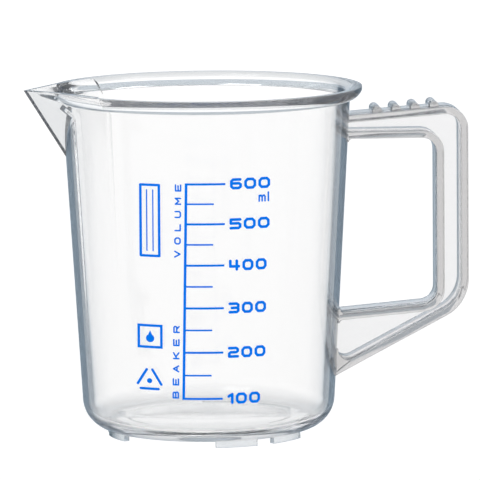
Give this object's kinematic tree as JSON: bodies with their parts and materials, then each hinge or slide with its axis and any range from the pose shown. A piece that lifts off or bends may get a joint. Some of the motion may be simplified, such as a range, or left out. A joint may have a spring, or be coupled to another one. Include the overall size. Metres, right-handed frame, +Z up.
{
  "type": "graduated pouring beaker",
  "caption": "Tapered clear plastic laboratory beaker with a flared rim, a V-shaped pouring spout, a webbed open handle, feet under the base and a printed volume scale.",
  "frame": {"origin": "the point where the vessel's axis meets the table plane under the feet", "axes": "+Z up the vessel's axis, +X from the axis towards the handle, so the spout points along -X and the printed scale faces -Y"},
  "size_m": [0.1585, 0.1116, 0.125],
  "materials": {
    "clear_plastic": "gloss, clear",
    "handle_plastic": "satin, slightly milky",
    "blue_ink": "matt screen print"
  },
  "bodies": {
    "root": {"vessel_wall": "clear_plastic", "vessel_base": "clear_plastic", "rim_lip": "clear_plastic", "pouring_spout": "clear_plastic", "foot_lug_1": "clear_plastic", "foot_lug_2": "clear_plastic", "foot_lug_3": "clear_plastic", "foot_lug_4": "clear_plastic", "foot_lug_5": "clear_plastic", "foot_lug_6": "clear_plastic", "handle_outer_rail": "handle_plastic", "handle_inner_rail": "handle_plastic", "handle_web": "handle_plastic", "grip_rib_1": "handle_plastic", "grip_rib_2": "handle_plastic", "grip_rib_3": "handle_plastic", "grip_rib_4": "handle_plastic", "scale_spine": "blue_ink", "major_marks": "blue_ink", "minor_marks": "blue_ink", "numeral_100": "blue_ink", "numeral_200": "blue_ink", "numeral_300": "blue_ink", "numeral_400": "blue_ink", "numeral_500": "blue_ink", "numeral_600": "blue_ink", "unit_mark": "blue_ink", "volume_caption": "blue_ink", "beaker_caption": "blue_ink", "write_on_panel": "blue_ink", "drop_symbol": "blue_ink", "triad_symbol": "blue_ink"}
  },
  "joints": []
}
